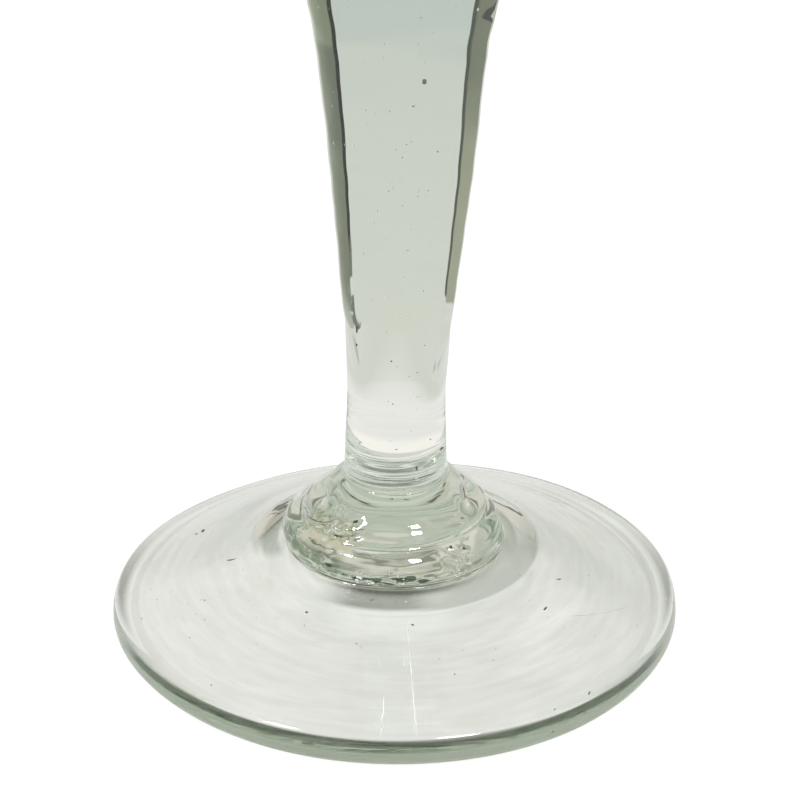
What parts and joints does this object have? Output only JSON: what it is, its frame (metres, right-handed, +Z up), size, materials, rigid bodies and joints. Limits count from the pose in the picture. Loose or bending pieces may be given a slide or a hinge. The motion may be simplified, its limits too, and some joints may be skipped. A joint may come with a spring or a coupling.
{
  "type": "goblet",
  "caption": "Stemmed drinking glass: a round funnel bowl on a solid faceted stem with a shoulder, a neck, a knop and collars on a low conical foot.",
  "frame": {"origin": "middle of the foot's underside, on the surface that the glass stands on", "axes": "+Z up along the height, +X towards the side that the stem leans to, -Y towards the front, square to one of the stem's broad flats"},
  "size_m": [0.08, 0.08, 0.179],
  "materials": {
    "clear_glass": "clear hand-made glass with a faint grey-green tint, fire polished, with seeds, striations and light wear"
  },
  "bodies": {
    "root": {"foot": "clear_glass", "lower_collar": "clear_glass", "upper_collar": "clear_glass", "knop": "clear_glass", "neck": "clear_glass", "stem": "clear_glass", "bowl": "clear_glass"}
  },
  "joints": []
}
